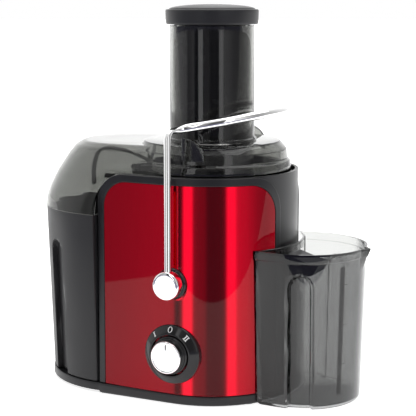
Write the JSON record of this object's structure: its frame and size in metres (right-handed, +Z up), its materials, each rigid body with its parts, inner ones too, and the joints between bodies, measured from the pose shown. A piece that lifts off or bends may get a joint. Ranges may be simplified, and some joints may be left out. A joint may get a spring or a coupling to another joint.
{
  "type": "centrifugal juicer",
  "caption": "Upright centrifugal juicer with red front panel, chrome locking bail, wide feed chute, pulp bin and pouring jug.",
  "frame": {"origin": "middle of the bounding box in plan, on the surface the feet stand on", "axes": "+Z up, -Y to the front with the dial, +X to the jug"},
  "size_m": [0.3405, 0.206, 0.375],
  "materials": {
    "black_plastic": "satin black moulding",
    "charcoal_plastic": "satin charcoal moulding",
    "red_panel": "candy red gloss",
    "smoky_plastic": "clear smoky polycarbonate",
    "chrome": "bright chrome plate",
    "steel": "stainless and plated steel",
    "copper": "copper windings and segments",
    "rubber": "black rubber",
    "board": "green circuit board"
  },
  "bodies": {
    "root": {"base_tray": "black_plastic", "bottom_cover": "black_plastic", "cover_screw_1": "steel", "cover_screw_2": "steel", "cover_screw_3": "steel", "cover_screw_4": "steel", "foot_1": "rubber", "foot_2": "rubber", "foot_3": "rubber", "foot_4": "rubber", "motor_housing": "black_plastic", "front_frame": "black_plastic", "front_panel": "red_panel", "rear_panel": "black_plastic", "cord_gland": "rubber", "dial_bezel": "black_plastic", "speed_switch": "black_plastic", "hub_washer_front": "black_plastic", "hub_washer_rear": "black_plastic", "pivot_pin_front": "steel", "pivot_pin_rear": "steel", "stator": "steel", "carbon_brush_1": "rubber", "carbon_brush_2": "rubber", "lower_bearing": "steel", "upper_bearing": "steel", "lower_bell": "steel", "upper_bell": "steel", "motor_mount": "steel", "shaft_seal": "rubber", "control_board": "board", "safety_switch": "black_plastic", "juice_bowl": "charcoal_plastic"},
    "drive": {"motor_shaft": "steel", "rotor": "copper", "commutator": "copper", "cooling_fan": "black_plastic", "drive_coupling": "black_plastic", "filter_basket": "steel", "grater_disc": "steel"},
    "lid": {"lid": "smoky_plastic", "lid_seal": "rubber"},
    "pusher": {"pusher_body": "charcoal_plastic", "pusher_cap": "charcoal_plastic"},
    "bail": {"bail_rod": "chrome", "bail_hub_front": "chrome", "bail_hub_rear": "chrome"},
    "knob": {"speed_knob": "chrome", "knob_spindle": "steel"},
    "jug": {"juice_jug": "smoky_plastic"},
    "bin": {"pulp_bin": "black_plastic"}
  },
  "joints": [
    {"name": "basket_spin", "type": "hinge", "parent": "root", "child": "drive", "pos_m": [0.006, 0, 0.1], "axis": [0, 0, 1], "continuous": true},
    {"name": "lid_lift", "type": "slide", "parent": "root", "child": "lid", "axis": [0, 0, 1], "range_m": [0, 0.0015]},
    {"name": "pusher_slide", "type": "slide", "parent": "lid", "child": "pusher", "axis": [0, 0, 1], "range_m": [0, 0.15]},
    {"name": "bail_swing", "type": "hinge", "parent": "root", "child": "bail", "pos_m": [0.006, 0, 0.1165], "axis": [0, 1, 0], "range_deg": [0, 50]},
    {"name": "knob_turn", "type": "hinge", "parent": "root", "child": "knob", "pos_m": [0.006, 0, 0.049], "axis": [0, -1, 0], "range_deg": [-40, 40]},
    {"name": "jug_slide", "type": "slide", "parent": "root", "child": "jug", "axis": [1, 0, 0], "range_m": [0, 0.1]},
    {"name": "bin_slide", "type": "slide", "parent": "root", "child": "bin", "axis": [-1, 0, 0], "range_m": [0, 0.12]}
  ]
}
